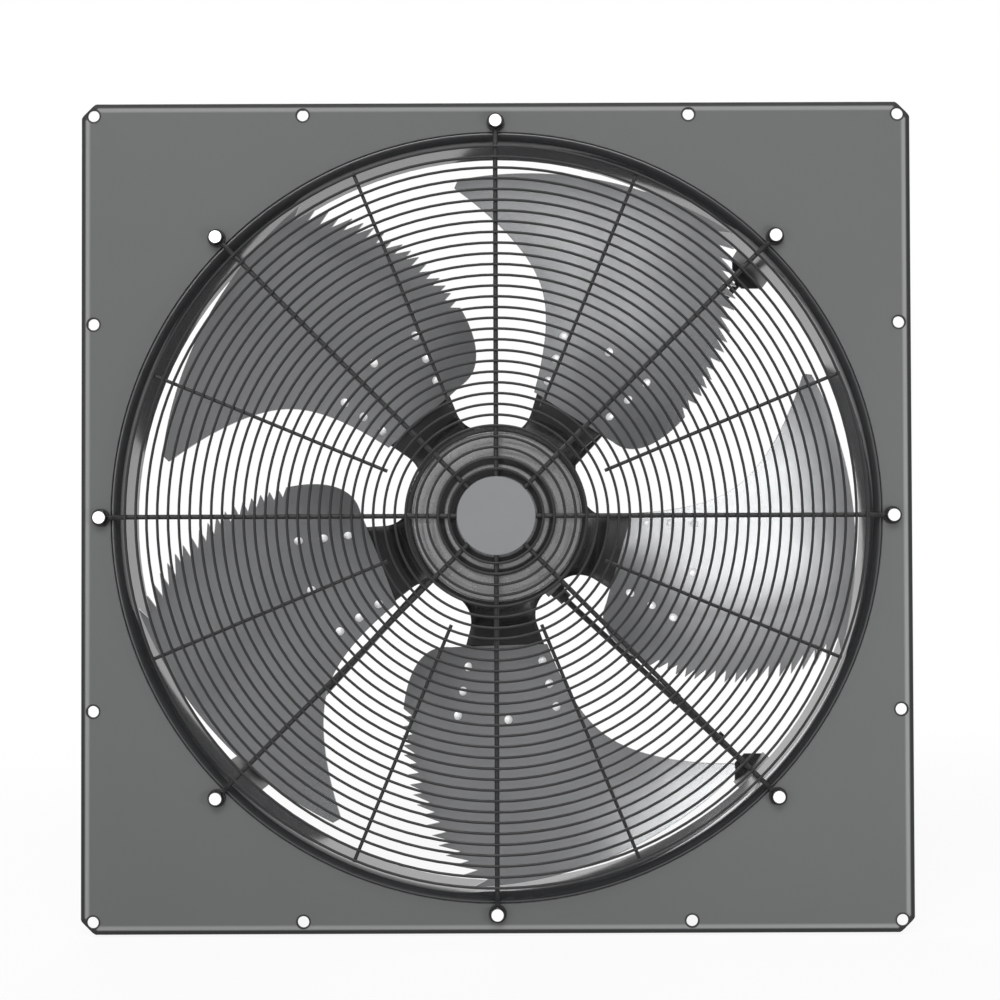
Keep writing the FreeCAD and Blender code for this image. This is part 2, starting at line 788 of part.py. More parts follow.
def make_bearing(name, y):
    middle = Vector(0, y + bearing_width / 2, 0)
    groove = Part.makeTorus(ball_path_r, ball_r + ball_clear, middle, along)
    outer = ring(bearing_r, bearing_r - bearing_land, y, y + bearing_width)
    inner = ring(shaft_r + bearing_land, shaft_r, y, y + bearing_width)
    save(name + "_outer_ring", outer.cut(groove))
    save(name + "_inner_ring", inner.cut(groove))
    balls = []
    cage_y = middle.y + cage_shift
    cage = ring(ball_path_r + cage_wall / 2, ball_path_r - cage_wall / 2, cage_y, cage_y + cage_thick)
    for i in range(ball_count):
        place = at(ball_path_r, 360 * i / ball_count, middle.y)
        balls.append(Part.makeSphere(ball_r, place))
        cage = cage.cut(Part.makeSphere(ball_r + ball_clear, place))
    save(name + "_balls", group(balls + [cage]))


def make_stator():
    skirt_y = flange_y - skirt_length
    plate = disc(skirt_r, flange_y, flange_y + flange_thick)
    skirt = ring(skirt_r, skirt_inner_r, skirt_y, flange_y)
    tube = disc(tube_r, tube_front_y, flange_y)
    boss = disc(seat_boss_r, flange_y + flange_thick, seat_y)
    outlet_in_r = outlet_r - outlet_deep
    low_z = -outlet_side - outlet_wide / 2
    outlet = block(outlet_in_r, outlet_r, flange_y, seat_y, low_z, low_z + outlet_wide)
    bore = rod_radial(lead_r, outlet_in_r, outlet_r, outlet_y, -outlet_side)
    flange = fused([plate, skirt, tube, boss, turned(outlet, lead_angle)])
    flange = flange.cut(turned(bore, lead_angle))
    flange = flange.cut(disc(bearing_r, tube_front_y, front_stop_y))
    flange = flange.cut(disc(tube_mid_r, front_stop_y, rear_stop_y))
    flange = flange.cut(disc(bearing_r, rear_stop_y, seat_y))
    for quarter in range(4):
        thread = disc(bolt_r, seat_y - motor_bolt_grip, seat_y, motor_bolt_r)
        flange = flange.cut(turned(thread, 90 * quarter))
    save("stator_flange", flange.Solids[0])
    save("preload_spring", ring(bearing_r, bearing_r - bearing_land, rear_stop_y, rear_stop_y + spring_thick))

    core = ring(core_r, tube_r, core_front_y, core_rear_y)
    ring_r = slot_inner_r + winding_ring_wall - bearing_land
    coils = []
    for front_y in (core_front_y - winding_overhang, core_rear_y):
        coils.append(ring(core_r - winding_clear, core_r - winding_ring_wall, front_y, front_y + winding_overhang))
    for i in range(slot_count):
        angle = 360 * i / slot_count
        half_slot = slot_width / 2
        slot = block(slot_inner_r, core_dia, core_front_y, core_rear_y, -half_slot, half_slot)
        core = core.cut(turned(slot, angle))
        half_bar = half_slot - winding_clear
        bar = block(slot_inner_r + winding_clear, ring_r, core_front_y, core_rear_y, -half_bar, half_bar)
        coils.append(turned(bar, angle))
    save("stator_core", core.Solids[0])
    save("stator_windings", fused(coils).Solids[0])


# Motor support behind the impeller: flat bars on edge, which pass beside the axis
def strut_side(x):
    return (x - strut_end_r) * skew_slope


def skewed(shape):
    copy = shape.copy()
    copy.rotate(Vector(strut_end_r, 0, 0), along, -strut_skew)
    return copy


def make_support():
    plate = ring(motor_plate_r, motor_plate_hole_r, seat_y, support_y)
    bolts = []
    for quarter in range(4):
        plate = plate.cut(turned(disc(bolt_hole_r, seat_y, support_y, motor_bolt_r), 90 * quarter))
        head = hexagon(bolt_flats, support_y, support_y + bolt_head_high, motor_bolt_r)
        shank = disc(bolt_r, seat_y - motor_bolt_grip, support_y, motor_bolt_r)
        bolts.append(turned(fused([head, shank]), 90 * quarter))
    save("motor_plate", plate)
    save("motor_bolts", group(bolts))

    half = foot_width / 2
    half_neck = foot_neck / 2
    outer_r = strut_end_r
    face_y = support_y - foot_sheet
    inner_r = foot_r - foot_reach
    outline = [Vector(inner_r, face_y, -half_neck), Vector(inner_r, face_y, half_neck)]
    outline += [Vector(inner_r + foot_taper, face_y, half), Vector(outer_r, face_y, half)]
    outline += [Vector(outer_r, face_y, -half), Vector(inner_r + foot_taper, face_y, -half)]
    face = polygon(outline, Vector(0, foot_sheet, 0))
    leg = block(foot_r, outer_r, flange_rear_y, support_y, -half, half)
    toe = block(foot_r, guard_bolt_r + foot_toe, flange_rear_y, flange_rear_y + foot_sheet, -half, half)
    foot = fused([face, leg, toe])
    foot = foot.cut(disc(bolt_hole_r, flange_rear_y, flange_rear_y + foot_sheet, guard_bolt_r))
    lead_hole = rod_radial(lead_r + lead_clear, foot_r, outer_r, lead_y, strut_side(foot_r))
    half_bar = strut_thick / 2
    bar = skewed(block(strut_inner_r, outer_r, support_y, strut_rear_y, -half_bar, half_bar))
    for number, angle in enumerate(strut_angles, start=1):
        this_foot = foot.cut(lead_hole) if angle == lead_angle else foot
        save("strut_foot_" + str(number), turned(this_foot, angle))
        save("strut_" + str(number), turned(bar, angle))


# Motor lead, its ties and the terminal box, drawn along X and turned onto the lower right strut
def gland(x_face, y, z, outward):
    hex_end = x_face + outward * gland_hex
    body_end = hex_end + outward * gland_body
    nut = hexagon_radial(gland_flats, min(x_face, hex_end), max(x_face, hex_end), y, z)
    body = rod_radial(gland_body_r, min(hex_end, body_end), max(hex_end, body_end), y, z)
    low = min(x_face, body_end)
    high = max(x_face, body_end)
    return fused([nut, body]).cut(rod_radial(lead_r, low, high, y, z))


# Belt round the strut and the lead in front of it
def tie_band(x):
    half = tie_width / 2
    side = max(strut_thick / 2, lead_r) + tie_clear
    front_y = lead_y - lead_r - tie_clear
    rear_y = strut_rear_y + tie_clear
    inner = block(x - half, x + half, front_y, rear_y, -side, side)
    front_y -= tie_thick
    rear_y += tie_thick
    side += tie_thick
    return skewed(block(x - half, x + half, front_y, rear_y, -side, side).cut(inner))


def make_lead():
    start_r = outlet_r - outlet_deep
    end_r = box_inner_r + lead_tail
    points = [
        Vector(start_r, outlet_y, -outlet_side),
        Vector(lead_straight, outlet_y, -outlet_side),
        Vector(lead_joins_strut, lead_y, strut_side(lead_joins_strut)),
        Vector(lead_drop_r, lead_y, gland_side),
        Vector(lead_drop_r, box_gland_y, gland_side),
        Vector(end_r, box_gland_y, gland_side),
    ]
    radii = [3 * lead_bend_r, 3 * lead_bend_r, lead_bend_r, lead_bend_r]
    path = rounded_path(points, radii)
    lead = tube_along(path, lead_r)
    expected = math.pi * lead_r**2 * path.Length
    print("lead length", round(path.Length, 1), "radii", radii, "volume share", round(lead.Volume / expected, 4))
    save("motor_cable", turned(lead, lead_angle))
    save("motor_gland", turned(gland(outlet_r, outlet_y, -outlet_side, 1), lead_angle))
    stations = [first_tie_r + tie_pitch * i for i in range(tie_count)]
    save("cable_ties", group([turned(tie_band(x), lead_angle) for x in stations]))


def box_corners(inset):
    half = box_wide / 2 - inset
    return [(box_inner_r + box_deep / 2 + sx * (box_deep / 2 - inset), sz * half) for sx in (-1, 1) for sz in (-1, 1)]


def rounded_block(x_from, x_to, y_from, y_to, half_z, radius):
    body = block(x_from, x_to, y_from, y_to, -half_z, half_z)
    upright = [e for e in body.Edges if e.BoundBox.YLength > (y_to - y_from) / 2]
    return body.makeFillet(radius, upright)


def make_terminal_box():
    outer_r = box_outer_r
    half = box_wide / 2
    shell = rounded_block(box_inner_r, outer_r, plate_sheet, box_rear_y, half, box_corner_r)
    floor_y = plate_sheet + box_wall
    inside_r = box_corner_r - box_wall
    hollow = rounded_block(box_inner_r + box_wall, outer_r - box_wall, floor_y, box_rear_y, half - box_wall, inside_r)
    base = shell.cut(hollow)
    half_post = lid_post_half
    posts = []
    for x, z in box_corners(lid_screw_inset):
        posts.append(block(x - half_post, x + half_post, floor_y, box_rear_y, z - half_post, z + half_post))
    base = fused([base] + posts)
    lid_y = box_rear_y + lid_thick
    lid = rounded_block(box_inner_r, outer_r, box_rear_y, lid_y, half, box_corner_r)
    screws = []
    head_y = lid_y - lid_head_high
    for x, z in box_corners(lid_screw_inset):
        base = base.cut(disc(lid_screw_r, head_y - lid_screw_length, box_rear_y, x, z))
        lid = lid.cut(disc(lid_screw_r, box_rear_y, lid_y, x, z)).cut(disc(lid_head_r, head_y, lid_y, x, z))
        shank = disc(lid_screw_r, head_y - lid_screw_length, head_y, x, z)
        screws.append(box_place(fused([disc(lid_head_r, head_y, lid_y, x, z), shank])))
    base = base.cut(rod_radial(lead_r, box_inner_r, box_inner_r + box_wall, box_gland_y, gland_side))
    base = base.cut(rod_radial(lead_r, outer_r - box_wall, outer_r, box_gland_y, gland_side))
    nuts = []
    for x, z in stud_places():
        base = base.cut(disc(stud_r + stud_clear, plate_sheet, floor_y, x, z))
        nut = hexagon(stud_nut_flats, floor_y, floor_y + stud_nut_high, x, z)
        nuts.append(box_place(nut.cut(disc(stud_r, floor_y, floor_y + stud_nut_high, x, z))))
    save("terminal_box", box_place(base.Solids[0]))
    save("terminal_lid", box_place(lid))
    save("lid_screws", group(screws))
    save("box_nuts", group(nuts))
    glands = [gland(box_inner_r, box_gland_y, gland_side, -1), gland(outer_r, box_gland_y, gland_side, 1)]
    save("box_glands", group([box_place(one) for one in glands]))

    block_end = outer_r - block_inset
    terminals = block(block_end - block_deep, block_end, floor_y, floor_y + block_high, -block_long / 2, block_long / 2)
    way = block_long / block_ways
    for i in range(block_ways):
        z = way * (i + 0.5) - block_long / 2
        terminals = terminals.cut(rod_radial(block_hole_r, block_end - block_deep, block_end, floor_y + block_high / 2, z))
    save("terminal_block", box_place(terminals))


os.makedirs("parts", exist_ok=True)
make_plate()
make_nozzle()
make_guard()
make_guard_fasteners()
make_impeller()
make_rotor()
make_bearing("front_bearing", boss_end_y)
make_bearing("rear_bearing", rear_stop_y + spring_thick)
make_stator()
make_support()
make_lead()
make_terminal_box()
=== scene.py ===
import json
import math
from functools import partial

import bmesh
import bpy
from mathutils import Euler, Matrix, Vector


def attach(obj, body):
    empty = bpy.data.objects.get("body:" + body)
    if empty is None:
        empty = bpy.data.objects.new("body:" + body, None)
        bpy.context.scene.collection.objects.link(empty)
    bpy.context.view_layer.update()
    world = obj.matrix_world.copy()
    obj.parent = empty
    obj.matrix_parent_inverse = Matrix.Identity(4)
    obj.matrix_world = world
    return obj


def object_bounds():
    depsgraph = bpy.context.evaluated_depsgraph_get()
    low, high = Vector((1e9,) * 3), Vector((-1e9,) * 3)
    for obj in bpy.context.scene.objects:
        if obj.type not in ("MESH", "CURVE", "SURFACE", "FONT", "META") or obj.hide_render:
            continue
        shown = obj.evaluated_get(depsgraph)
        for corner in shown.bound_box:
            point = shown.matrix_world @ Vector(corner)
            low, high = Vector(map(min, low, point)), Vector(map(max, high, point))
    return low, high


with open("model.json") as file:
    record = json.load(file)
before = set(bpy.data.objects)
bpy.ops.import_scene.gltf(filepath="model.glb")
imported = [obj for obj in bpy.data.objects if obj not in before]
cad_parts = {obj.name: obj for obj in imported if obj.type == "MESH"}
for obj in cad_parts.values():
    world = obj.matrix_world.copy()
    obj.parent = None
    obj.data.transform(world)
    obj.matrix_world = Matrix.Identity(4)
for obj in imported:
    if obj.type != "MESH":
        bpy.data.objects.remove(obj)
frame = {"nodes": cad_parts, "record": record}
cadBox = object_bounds()
nodes = frame["nodes"]
print("frame loaded,", len(nodes), "nodes")


# shader node helpers
def startGroup(name, inputs, outputs):
    tree = bpy.data.node_groups.new(name, "ShaderNodeTree")
    for label, kind, value in inputs:
        socket = tree.interface.new_socket(label, in_out="INPUT", socket_type=kind)
        socket.default_value = value
    for label, kind in outputs:
        tree.interface.new_socket(label, in_out="OUTPUT", socket_type=kind)
    given = tree.nodes.new("NodeGroupInput")
    made = tree.nodes.new("NodeGroupOutput")
    return tree, given.outputs, made.inputs


def addMath(tree, operation, *values, clamp=False):
    node = tree.nodes.new("ShaderNodeMath")
    node.operation = operation
    node.use_clamp = clamp
    for slot, value in enumerate(values):
        if isinstance(value, (int, float)):
            node.inputs[slot].default_value = value
        else:
            tree.links.new(value, node.inputs[slot])
    return node.outputs[0]


def addNoise(tree, vector, scale, detail, roughness=0.5):
    node = tree.nodes.new("ShaderNodeTexNoise")
    node.inputs["Detail"].default_value = detail
    node.inputs["Roughness"].default_value = roughness
    if isinstance(scale, (int, float)):
        node.inputs["Scale"].default_value = scale
    else:
        tree.links.new(scale, node.inputs["Scale"])
    tree.links.new(vector, node.inputs["Vector"])
    return node.outputs["Fac"]


def addRamp(tree, value, low, high):
    node = tree.nodes.new("ShaderNodeMapRange")
    node.interpolation_type = "SMOOTHSTEP"
    node.inputs["From Min"].default_value = low
    node.inputs["From Max"].default_value = high
    tree.links.new(value, node.inputs["Value"])
    return node.outputs["Result"]


def addLength(tree, first, second):
    squares = [addMath(tree, "MULTIPLY", side, side) for side in (first, second)]
    return addMath(tree, "SQRT", addMath(tree, "ADD", *squares))


mixSlots = {"first": 6, "second": 7, "result": 2}  # a mix node's colour sockets share their names with others


def addMixColour(tree, factor, first, second):
    node = tree.nodes.new("ShaderNodeMix")
    node.data_type = "RGBA"
    tree.links.new(factor, node.inputs["Factor"])
    for slot, value in (("first", first), ("second", second)):
        socket = node.inputs[mixSlots[slot]]
        if isinstance(value, (tuple, list)):
            socket.default_value = (*value, 1)
        else:
            tree.links.new(value, socket)
    return node.outputs[mixSlots["result"]]


def objectPlace(tree):
    return tree.nodes.new("ShaderNodeTexCoord").outputs["Object"]


def surfaceFacing(tree, kind):
    return tree.nodes.new("ShaderNodeNewGeometry").outputs[kind]


def splitAxes(tree, vector):
    node = tree.nodes.new("ShaderNodeSeparateXYZ")
    tree.links.new(vector, node.inputs[0])
    return node.outputs["X"], node.outputs["Y"], node.outputs["Z"]


# cloudy tone, gloss patches and fine orange peel of a sprayed or powder coat
def makeCoatGrain():
    tree, given, made = startGroup("coatGrain", [
        ("Tone", "NodeSocketColor", (0.5, 0.5, 0.5, 1)),
        ("Tone Shift", "NodeSocketFloat", 0.1),
        ("Cloud Scale", "NodeSocketFloat", 6),
        ("Peel Scale", "NodeSocketFloat", 900),
        ("Gloss", "NodeSocketFloat", 0.4),
        ("Gloss Shift", "NodeSocketFloat", 0.1),
    ], [("Tone", "NodeSocketColor"), ("Gloss", "NodeSocketFloat"), ("Height", "NodeSocketFloat")])
    calc = partial(addMath, tree)
    place = objectPlace(tree)
    cloud = addNoise(tree, place, given["Cloud Scale"], detail=4)
    peel = addNoise(tree, place, given["Peel Scale"], detail=2)
    patchScale = calc("MULTIPLY", given["Cloud Scale"], 4.3)  # gloss changes in smaller patches than tone
    patch = addNoise(tree, place, patchScale, detail=5, roughness=0.6)
    lift = calc("MULTIPLY", calc("SUBTRACT", cloud, 0.5), given["Tone Shift"])
    shade = tree.nodes.new("ShaderNodeHueSaturation")
    tree.links.new(given["Tone"], shade.inputs["Color"])
    tree.links.new(calc("ADD", 1.0, calc("MULTIPLY", lift, 2.0)), shade.inputs["Value"])
    swing = calc("SUBTRACT", patch, 0.5)
    gloss = calc("MULTIPLY_ADD", swing, given["Gloss Shift"], given["Gloss"], clamp=True)
    tree.links.new(shade.outputs[0], made["Tone"])
    tree.links.new(gloss, made["Gloss"])
    tree.links.new(peel, made["Height"])
    return tree


# thin pale dust on faces that look up
def makeSettledDust():
    tree, given, made = startGroup("settledDust", [
        ("Amount", "NodeSocketFloat", 0.2),
        ("Patch Scale", "NodeSocketFloat", 30),
    ], [("Mask", "NodeSocketFloat")])
    calc = partial(addMath, tree)
    upward = splitAxes(tree, surfaceFacing(tree, "Normal"))[2]
    patch = addNoise(tree, objectPlace(tree), given["Patch Scale"], detail=5, roughness=0.6)
    patch = addRamp(tree, patch, low=0.35, high=0.75)
    flat = addRamp(tree, upward, low=0.2, high=0.95)
    mask = calc("MULTIPLY", calc("MULTIPLY", flat, patch), given["Amount"], clamp=True)
    tree.links.new(mask, made["Mask"])
    return tree


# edges lighter where paint is rubbed thin, and darker with painted shade along edges and round holes where a
# finish asks for a dark tone
def makeRubbedEdgeAndShade():
    tree, given, made = startGroup("rubbedEdgeAndShade", [
        ("Width", "NodeSocketFloat", 0.001),
        ("Amount", "NodeSocketFloat", 0.5),
        ("Patch Scale", "NodeSocketFloat", 60),
        ("Even", "NodeSocketFloat", 0),
    ], [("Mask", "NodeSocketFloat"), ("Normal", "NodeSocketVector")])
    calc = partial(addMath, tree)
    soft = tree.nodes.new("ShaderNodeBevel")
    soft.samples = 4
    tree.links.new(given["Width"], soft.inputs["Radius"])
    dot = tree.nodes.new("ShaderNodeVectorMath")
    dot.operation = "DOT_PRODUCT"
    tree.links.new(soft.outputs[0], dot.inputs[0])
    tree.links.new(surfaceFacing(tree, "Normal"), dot.inputs[1])
    turnedAway = calc("SUBTRACT", 1.0, dot.outputs["Value"], clamp=True)
    edge = addRamp(tree, turnedAway, low=0.005, high=0.06)
    patch = addNoise(tree, objectPlace(tree), given["Patch Scale"], detail=6, roughness=0.65)
    patch = calc("MAXIMUM", addRamp(tree, patch, low=0.42, high=0.7), given["Even"])
    mask = calc("MULTIPLY", calc("MULTIPLY", edge, patch), given["Amount"], clamp=True)
    tree.links.new(mask, made["Mask"])
    tree.links.new(soft.outputs[0], made["Normal"])
    return tree


# fine circles left by turning, and three rings of painted shade about the fan axis, standing in for shade in the
# face's groove and the shadow round the centre disc
def makeTurnedRings():
    tree, given, made = startGroup("turnedRings", [
        ("Ring Scale", "NodeSocketFloat", 900),
        ("Shade Ring Radius", "NodeSocketFloat", 0.0425),
        ("Shade Ring Width", "NodeSocketFloat", 0.0035),
        ("Shade Ring Step", "NodeSocketFloat", 0.0115),
    ], [("Line", "NodeSocketFloat"), ("Shade Ring", "NodeSocketFloat")])
    calc = partial(addMath, tree)
    across, deep, high = splitAxes(tree, objectPlace(tree))
    radius = addLength(tree, across, high)
    join = tree.nodes.new("ShaderNodeCombineXYZ")
    tree.links.new(calc("MULTIPLY", radius, given["Ring Scale"]), join.inputs["X"])
    tree.links.new(calc("MULTIPLY", deep, given["Ring Scale"]), join.inputs["Y"])
    fromMiddle = calc("ABSOLUTE", calc("SUBTRACT", radius, given["Shade Ring Radius"]))
    fromBeside = calc("ABSOLUTE", calc("SUBTRACT", fromMiddle, given["Shade Ring Step"]))
    away = calc("DIVIDE", calc("MINIMUM", fromMiddle, fromBeside), given["Shade Ring Width"])
    line = addNoise(tree, join.outputs[0], 1.0, detail=3, roughness=0.6)
    tree.links.new(line, made["Line"])
    tree.links.new(addRamp(tree, away, low=1.3, high=0.7), made["Shade Ring"])
    return tree


# painted shade along a square plate's folded edge, cut corners and holes, with a painted highlight line inside it
def makeFoldBand():
    tree, given, made = startGroup("foldBand", [
        ("Half", "NodeSocketFloat", 0.4),
        ("Corner", "NodeSocketFloat", 0.015),
        ("Width", "NodeSocketFloat", 0.003),
        ("Hole Line", "NodeSocketFloat", 0.3875),
        ("Hole Side", "NodeSocketFloat", 0.186),
        ("Hole Radius", "NodeSocketFloat", 0.0055),
    ], [("Shade", "NodeSocketFloat"), ("Line", "NodeSocketFloat")])
    calc = partial(addMath, tree)
    sideX, _, sideZ = splitAxes(tree, objectPlace(tree))
    across, high = calc("ABSOLUTE", sideX), calc("ABSOLUTE", sideZ)
    further, nearer = calc("MAXIMUM", across, high), calc("MINIMUM", across, high)
    toSide = calc("SUBTRACT", given["Half"], further)
    reach = calc("SUBTRACT", calc("MULTIPLY", given["Half"], 2.0), given["Corner"])
    toCorner = calc("MULTIPLY", calc("SUBTRACT", reach, calc("ADD", across, high)), math.sqrt(0.5))
    inset = calc("DIVIDE", calc("MINIMUM", toSide, toCorner), given["Width"])
    toMid = calc("ABSOLUTE", calc("SUBTRACT", nearer, given["Hole Side"]))
    toEnd = calc("ABSOLUTE", calc("SUBTRACT", nearer, given["Hole Line"]))
    toHole = addLength(tree, calc("SUBTRACT", further, given["Hole Line"]), calc("MINIMUM", toMid, toEnd))
    pastRim = calc("DIVIDE", calc("SUBTRACT", toHole, given["Hole Radius"]), given["Width"])
    band = calc("SUBTRACT", 1.0, addRamp(tree, inset, low=0.8, high=1.2))
    shade = calc("MAXIMUM", addRamp(tree, pastRim, low=0.48, high=0.22), band)
    lineStart = addRamp(tree, inset, low=0.9, high=1.3)
    line = calc("SUBTRACT", lineStart, addRamp(tree, inset, low=1.6, high=2.2))
    facing = splitAxes(tree, surfaceFacing(tree, "True Normal"))[1]
    front = addRamp(tree, calc("MULTIPLY", facing, -1.0), low=0.4, high=0.6)  # only the plate's front has it
    tree.links.new(calc("MULTIPLY", shade, front), made["Shade"])
    tree.links.new(calc("MULTIPLY", line, front), made["Line"])
    return tree


# shade round the rim of heads that sit in a circle about the fan axis
def makeHeadRim():
    tree, given, made = startGroup("headRim", [
        ("Circle", "NodeSocketFloat", 0.38),
        ("Half Step", "NodeSocketFloat", math.pi / 8),
        ("Radius", "NodeSocketFloat", 0.0056),
    ], [("Mask", "NodeSocketFloat")])
    calc = partial(addMath, tree)
    across, _, high = splitAxes(tree, objectPlace(tree))
    radius = addLength(tree, across, high)
    angle = calc("ARCTAN2", high, across)
    turn = calc("WRAP", angle, given["Half Step"], calc("MULTIPLY", given["Half Step"], -1.0))
    out = calc("SUBTRACT", calc("MULTIPLY", radius, calc("COSINE", turn)), given["Circle"])
    side = calc("MULTIPLY", radius, calc("SINE", turn))
    share = calc("DIVIDE", addLength(tree, out, side), given["Radius"])
    tree.links.new(addRamp(tree, share, low=0.94, high=1.08), made["Mask"])
    return tree


coatGrain = makeCoatGrain()
settledDust = makeSettledDust()
rubbedEdgeAndShade = makeRubbedEdgeAndShade()
turnedRings = makeTurnedRings()
foldBand = makeFoldBand()
headRim = makeHeadRim()
print("shader groups ready")


# finishes: tone is linear colour, gloss is roughness, scales are per metre
usualFinish = {"metal": 0, "specular": 0.5, "coat": 0, "coatGloss": 0.1, "glossShift": 0.12, "bumpDepth": 0.0004,
               "edgePatch": 60, "edgeEven": 0, "dustPatch": 40, "dustTone": (0.36, 0.35, 0.33)}

finishes = {
    "plate_paint": {
        "tone": (0.100, 0.103, 0.103), "gloss": 0.48, "specular": 0.16,
        "toneShift": 0.07, "cloud": 3.2, "peel": 1300, "bump": 0.10, "dust": 0.15,
        # the dark wear-and-shade tone here is painted shade along the plate's edges and round its holes
        "wearAndShade": 0.85, "edgeEven": 0.9, "wearAndShadeTone": (0.026, 0.026, 0.026), "edgeWidth": 0.0015,
        # fold shade tone is painted shade along the folded edge, cut corners and edge holes; fold highlight tone
        # is a painted highlight line inside it
        "fold": {"Half": 0.4, "Corner": 0.015, "Width": 0.0046},
        "foldShadeTone": (0.020, 0.021, 0.021), "foldHighlightTone": (0.20, 0.203, 0.203)},
    "nozzle_paint": {
        "tone": (0.024, 0.025, 0.026), "gloss": 0.20, "coat": 0.3,
        "toneShift": 0.2, "cloud": 5, "peel": 700, "bump": 0.05},
    "guard_wire": {
        "tone": (0.020, 0.0205, 0.021), "gloss": 0.42, "specular": 0.2,
        "toneShift": 0.25, "cloud": 14, "peel": 1500, "bump": 0.12, "dust": 0.2,
        "wearAndShade": 0.15, "wearAndShadeTone": (0.10, 0.10, 0.10), "edgeWidth": 0.0006},
    "disc_metal": {
        "tone": (0.142, 0.147, 0.152), "gloss": 0.48,
        "toneShift": 0.05, "cloud": 18, "peel": 1200, "bump": 0.06,
        "rings": 700.0, "ringTone": 0.15, "ringColour": (0.22, 0.227, 0.234)},
    "zinc_steel": {
        "tone": (0.92, 0.925, 0.93), "gloss": 0.28, "metal": 0.8,
        "toneShift": 0.08, "cloud": 90, "peel": 900, "bump": 0.10,
        # the dark wear-and-shade tone here is painted shade round the edges of nuts, washers and heads
        "wearAndShade": 0.8, "edgeEven": 0.9, "wearAndShadeTone": (0.03, 0.03, 0.03), "edgeWidth": 0.0022},
    "bolt_zinc": {
        "tone": (0.94, 0.945, 0.95), "gloss": 0.30, "metal": 0.6,
        "toneShift": 0.08, "cloud": 90, "peel": 900, "bump": 0.10,
        "rim": {"Radius": 0.0057}, "rimTone": (0.014, 0.014, 0.014)},
    "support_paint": {
        "tone": (0.024, 0.024, 0.026), "gloss": 0.42,
        "toneShift": 0.25, "cloud": 9, "peel": 1000, "bump": 0.12, "dust": 0.25,
        "wearAndShade": 0.35, "wearAndShadeTone": (0.10, 0.10, 0.10), "edgeWidth": 0.001},
    "motor_cast": {
        "tone": (0.185, 0.186, 0.188), "gloss": 0.27, "metal": 0.5, "specular": 0.4,
        "toneShift": 0.15, "cloud": 16, "peel": 1100, "bump": 0.05, "dust": 0.12,
        # the shade ring tone is painted shade in rings on the rotor face, in its groove and round the centre disc
        "rings": 650.0, "ringTone": 0.3, "ringColour": (0.32, 0.322, 0.324), "shadeRingTone": (0.010, 0.010, 0.010)},
    "hub_black": {
        "tone": (0.017, 0.0175, 0.018), "gloss": 0.24, "specular": 0.35, "coat": 0.2,
        "toneShift": 0.25, "cloud": 11, "peel": 800, "bump": 0.08, "dust": 0.1,
        "wearAndShade": 0.2, "wearAndShadeTone": (0.04, 0.04, 0.04), "edgeWidth": 0.009},
    "blade_paint": {
        "tone": (0.232, 0.236, 0.240), "gloss": 0.24, "metal": 0.7,
        "toneShift": 0.10, "cloud": 5, "peel": 1000, "bump": 0.08, "dust": 0.08,
        "wearAndShade": 0.3, "wearAndShadeTone": (0.33, 0.33, 0.33), "edgeWidth": 0.0009},
    "rivet_alu": {
        "tone": (0.94, 0.945, 0.95), "gloss": 0.30, "metal": 0.2,
        "toneShift": 0.08, "cloud": 120, "peel": 900, "bump": 0.06},
    "core_steel": {
        "tone": (0.30, 0.30, 0.31), "gloss": 0.45, "metal": 0.9,
        "toneShift": 0.2, "cloud": 40, "peel": 600, "bump": 0.2},
    "winding_copper": {
        "tone": (0.60, 0.24, 0.09), "gloss": 0.35, "metal": 0.8,
        "toneShift": 0.3, "cloud": 60, "peel": 500, "bump": 0.4},
    "bearing_steel": {
        "tone": (0.70, 0.71, 0.72), "gloss": 0.18, "metal": 1.0,
        "toneShift": 0.06, "cloud": 50, "peel": 900, "bump": 0.03},
    "black_plastic": {
        "tone": (0.034, 0.034, 0.036), "gloss": 0.52,
        "toneShift": 0.2, "cloud": 30, "peel": 2200, "bump": 0.25, "dust": 0.25,
        "wearAndShade": 0.25, "wearAndShadeTone": (0.06, 0.06, 0.06), "edgeWidth": 0.0008},
    "block_plastic": {
        "tone": (0.58, 0.58, 0.55), "gloss": 0.5,
        "toneShift": 0.06, "cloud": 40, "peel": 1800, "bump": 0.1},
    "lead_rubber": {
        "tone": (0.021, 0.021, 0.022), "gloss": 0.55,
        "toneShift": 0.25, "cloud": 40, "peel": 1600, "bump": 0.2, "dust": 0.25},
}


def placeGroup(tree, group, values):
    node = tree.nodes.new("ShaderNodeGroup")
    node.node_tree = group
    for label, value in values.items():
        node.inputs[label].default_value = (*value, 1) if isinstance(value, tuple) else value
    return node.outputs


